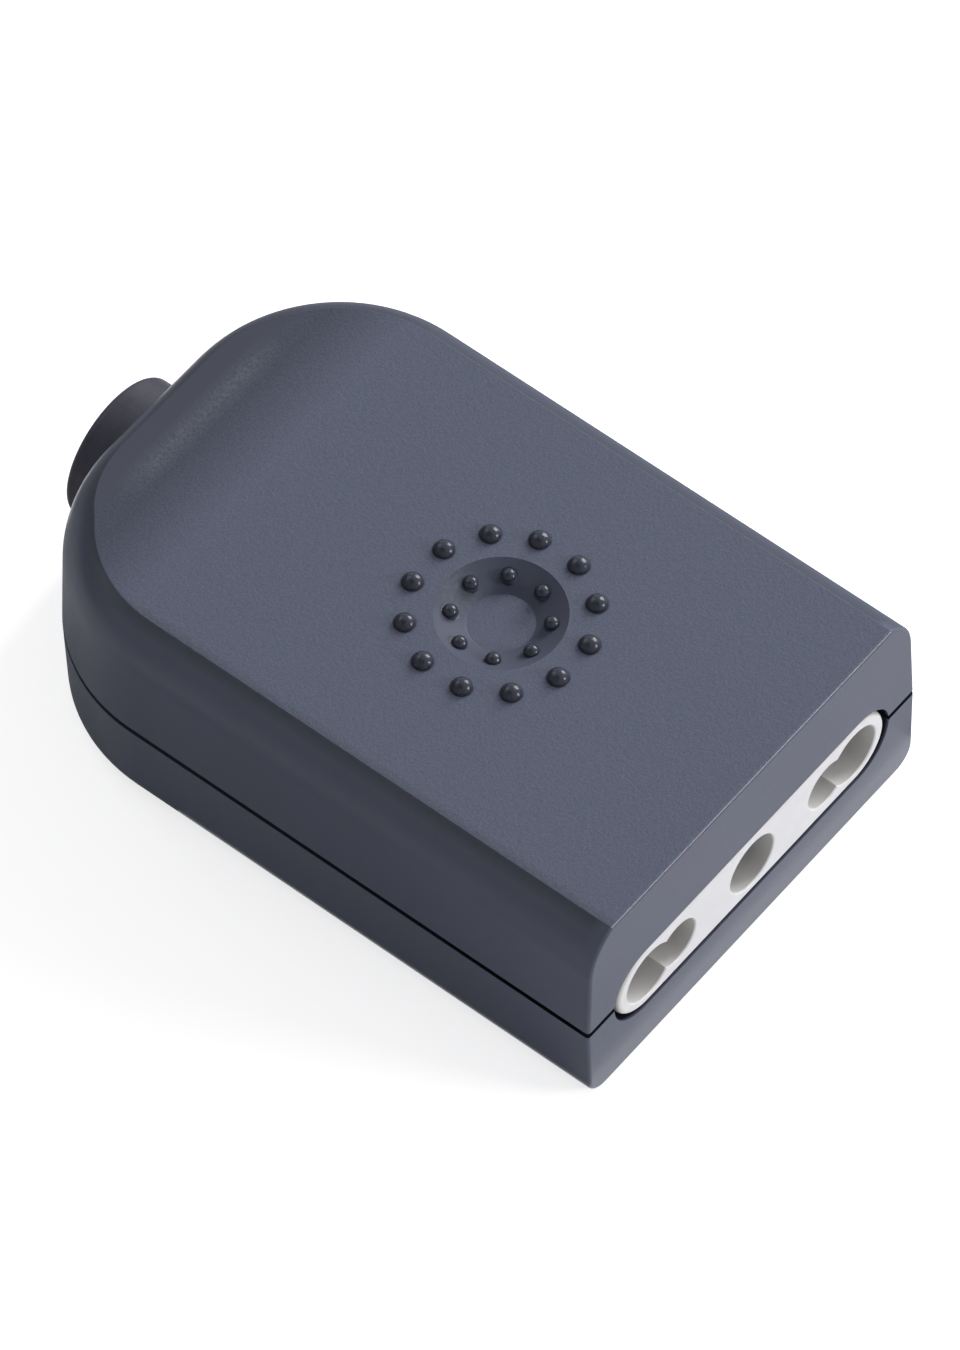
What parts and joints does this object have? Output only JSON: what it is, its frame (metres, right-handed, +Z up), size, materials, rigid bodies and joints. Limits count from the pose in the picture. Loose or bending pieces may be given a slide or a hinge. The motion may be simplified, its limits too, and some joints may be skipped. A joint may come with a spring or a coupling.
{
  "type": "in-line power socket",
  "caption": "Rewirable in-line mains socket: a two-part moulded housing with a dotted grip dish, a shuttered dual-gauge pin insert in front and a cable gland behind.",
  "frame": {"origin": "middle of the overall length and width, on the base", "axes": "+Y from the socket face to the cable gland, +Z up from the base to the dotted top, +X to the right of someone looking at the socket face"},
  "size_m": [0.0414, 0.0654, 0.0217],
  "materials": {
    "housing": "fine spark-eroded grain, satin",
    "insert": "smooth satin",
    "shutter": "smooth satin",
    "clamp": "satin",
    "gland": "smooth soft moulding",
    "brass": "rolled and turned",
    "screw_steel": "zinc plated",
    "spring_steel": "drawn wire"
  },
  "bodies": {
    "housing": {"upper_shell": "housing", "lower_shell": "housing", "socket_insert": "insert", "insert_cover": "insert", "shutter_spring": "spring_steel", "line_contact": "brass", "neutral_contact": "brass", "earth_contact": "brass", "line_terminal": "brass", "neutral_terminal": "brass", "earth_terminal": "brass", "line_terminal_screw": "screw_steel", "neutral_terminal_screw": "screw_steel", "earth_terminal_screw": "screw_steel", "cord_clamp": "clamp", "clamp_screws": "screw_steel", "housing_screws": "screw_steel", "cable_gland": "gland"},
    "shutter": {"shutter": "shutter"}
  },
  "joints": [
    {"name": "shutter_slide", "type": "slide", "parent": "housing", "child": "shutter", "axis": [0, 0, 1], "range_m": [0, 0.0056], "stiffness_N_per_m": 60, "springref_m": -0.004, "deforming": ["shutter_spring"]}
  ]
}
